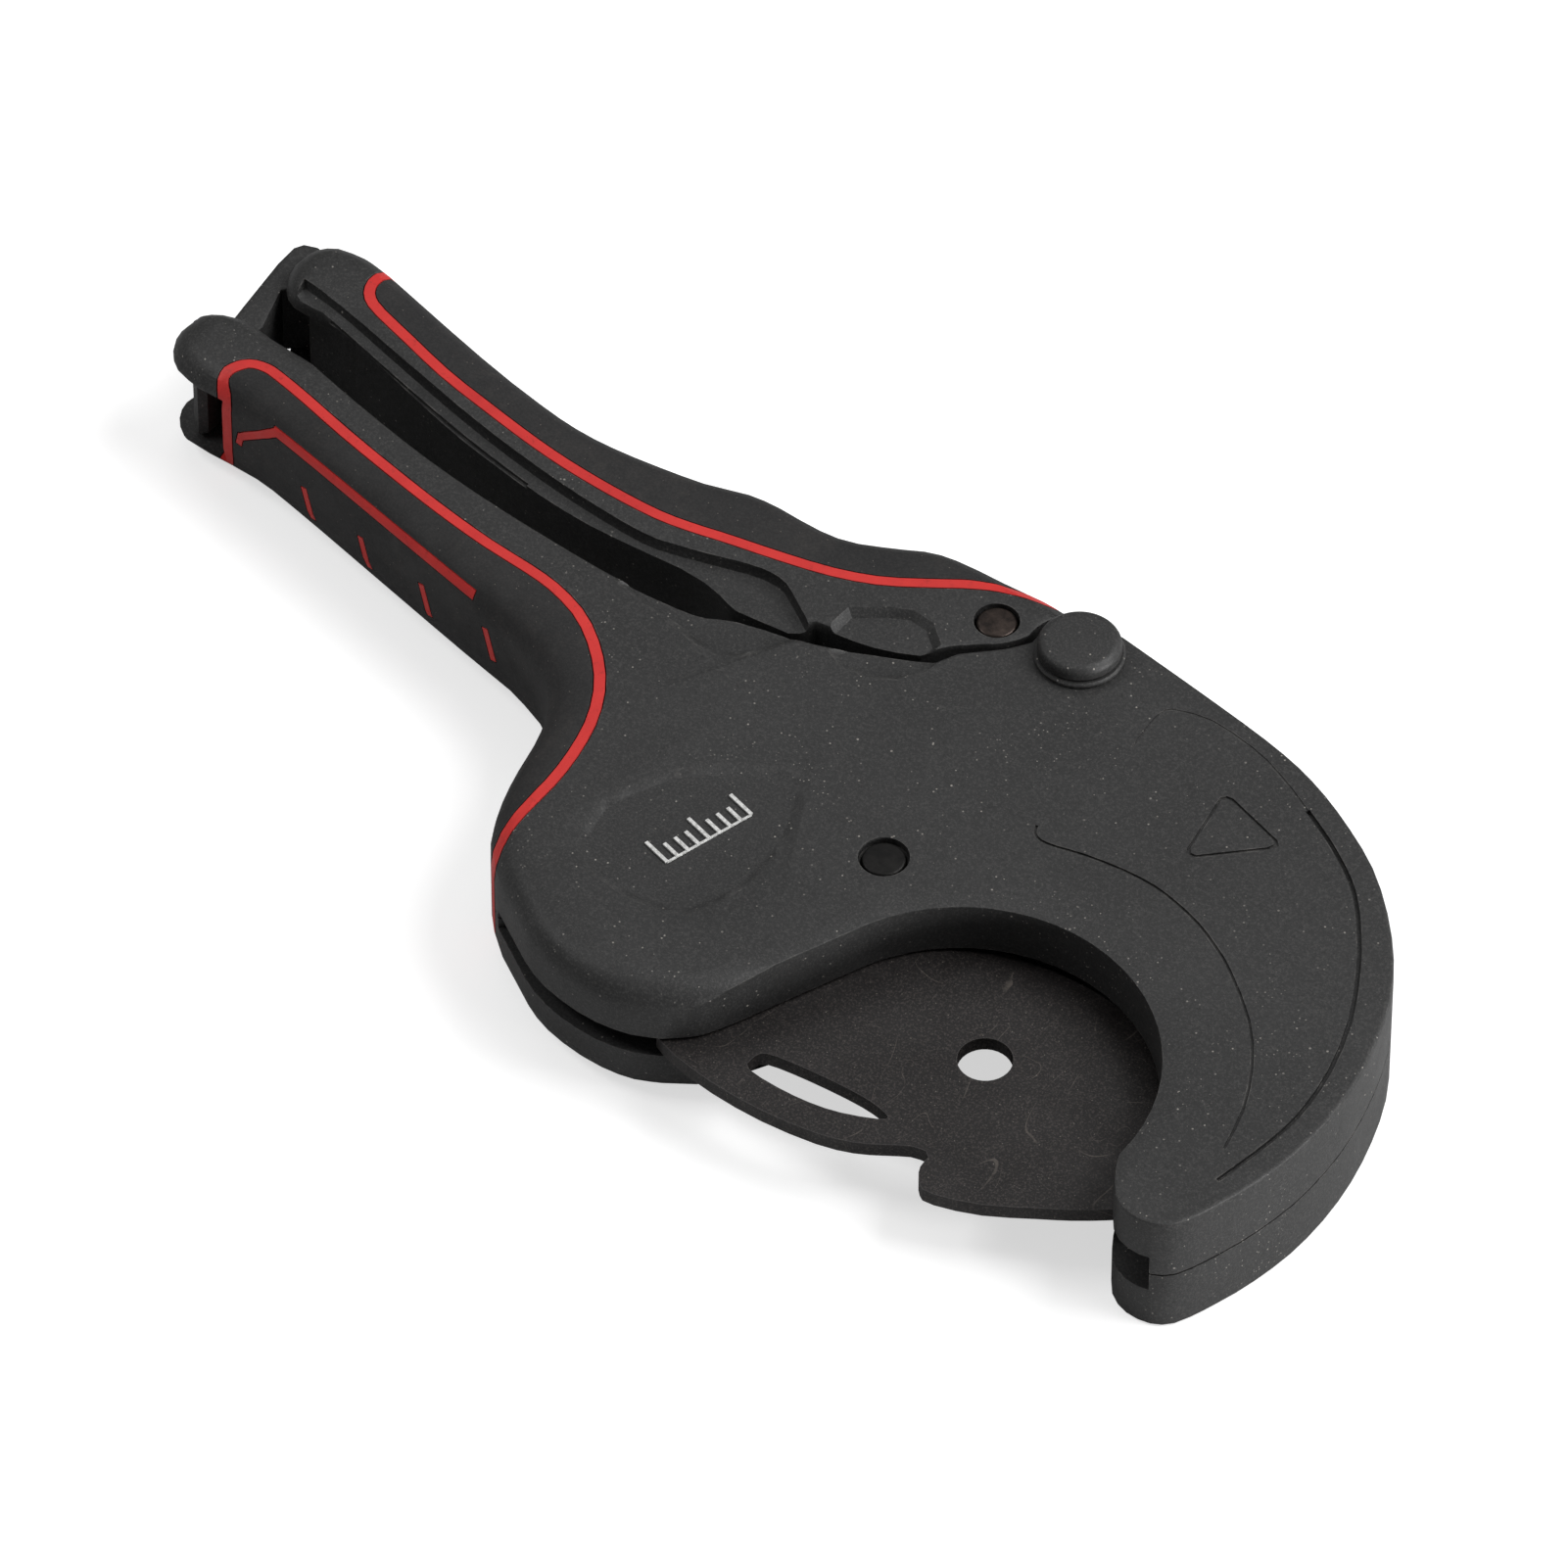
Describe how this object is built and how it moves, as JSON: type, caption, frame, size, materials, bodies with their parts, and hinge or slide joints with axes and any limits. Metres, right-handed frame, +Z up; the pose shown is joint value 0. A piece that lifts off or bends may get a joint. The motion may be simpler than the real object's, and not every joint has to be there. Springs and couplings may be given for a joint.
{
  "type": "ratcheting plastic pipe cutter",
  "caption": "Hand pipe cutter with a hooked jaw, a wide swinging blade driven by a pawl, two grips with red seams and a latch across the handle ends",
  "frame": {"origin": "centre of the bounding box's bottom face, on the surface the tool lies on", "axes": "+X along the tool from the handle ends to the jaw, +Y from the jaw's open side towards the main pivot, +Z up, square to the blade"},
  "size_m": [0.2608, 0.1144, 0.0294],
  "materials": {
    "cast_black": "matte black powder coat over die-cast alloy",
    "grip_rubber": "matte moulded rubber",
    "red_rubber": "matte red moulded rubber",
    "coated_blade": "black non-stick coating, lightly scratched",
    "pin_steel": "dark burnished",
    "spring_steel": "bright drawn wire",
    "white_ink": "matte ink"
  },
  "bodies": {
    "body": {"upper_body_shell": "cast_black", "lower_body_shell": "cast_black", "main_pivot_bolt": "cast_black", "main_pivot_washer": "cast_black", "fixed_handle_grip": "grip_rubber", "fixed_handle_red_seam": "red_rubber", "fixed_grip_side_stripe": "red_rubber", "fixed_grip_tick_1": "red_rubber", "fixed_grip_tick_2": "red_rubber", "fixed_grip_tick_3": "red_rubber", "fixed_grip_tick_4": "red_rubber", "blade_pivot_pin": "pin_steel", "blade_spacer": "pin_steel", "holding_pawl_pin": "pin_steel", "main_pivot_nut": "pin_steel", "latch_stop_pin": "pin_steel", "shell_screw_1": "pin_steel", "shell_screw_2": "pin_steel", "shell_screw_3": "pin_steel", "shell_screw_4": "pin_steel", "shell_screw_5": "pin_steel", "blade_return_spring": "spring_steel", "holding_pawl_spring": "spring_steel", "handle_return_spring": "spring_steel", "printed_scale": "white_ink"},
    "moving_handle": {"moving_handle_core": "cast_black", "moving_handle_grip": "grip_rubber", "moving_handle_red_seam": "red_rubber", "drive_pawl_pin": "pin_steel", "drive_pawl_spring": "spring_steel", "latch_pin": "pin_steel"},
    "blade": {"cutting_blade": "coated_blade"},
    "drive_pawl": {"drive_pawl": "pin_steel"},
    "holding_pawl": {"holding_pawl": "pin_steel"},
    "latch": {"latch_strap": "cast_black"}
  },
  "joints": [
    {"name": "handle_pivot", "type": "hinge", "parent": "body", "child": "moving_handle", "pos_m": [0.0361, 0.04862, 0.0127], "axis": [0, 0, -1], "range_deg": [0, 28]},
    {"name": "blade_pivot", "type": "hinge", "parent": "body", "child": "blade", "pos_m": [0.0389, -0.00668, 0.0127], "axis": [0, 0, -1], "range_deg": [0, 92]},
    {"name": "drive_pawl_pivot", "type": "hinge", "parent": "moving_handle", "child": "drive_pawl", "pos_m": [0.0206, 0.04612, 0.0127], "axis": [0, 0, 1], "range_deg": [0, 35.2]},
    {"name": "holding_pawl_pivot", "type": "hinge", "parent": "body", "child": "holding_pawl", "pos_m": [-0.0035, 0.01882, 0.0127], "axis": [0, 0, -1], "range_deg": [0, 12]},
    {"name": "latch_pivot", "type": "hinge", "parent": "moving_handle", "child": "latch", "pos_m": [-0.1224, 0.03962, 0.0127], "axis": [0, 0, -1], "range_deg": [0, 100]}
  ],
  "couplings": [
    {"joint": "drive_pawl_pivot", "follows": "handle_pivot", "ratio": 1.246}
  ]
}
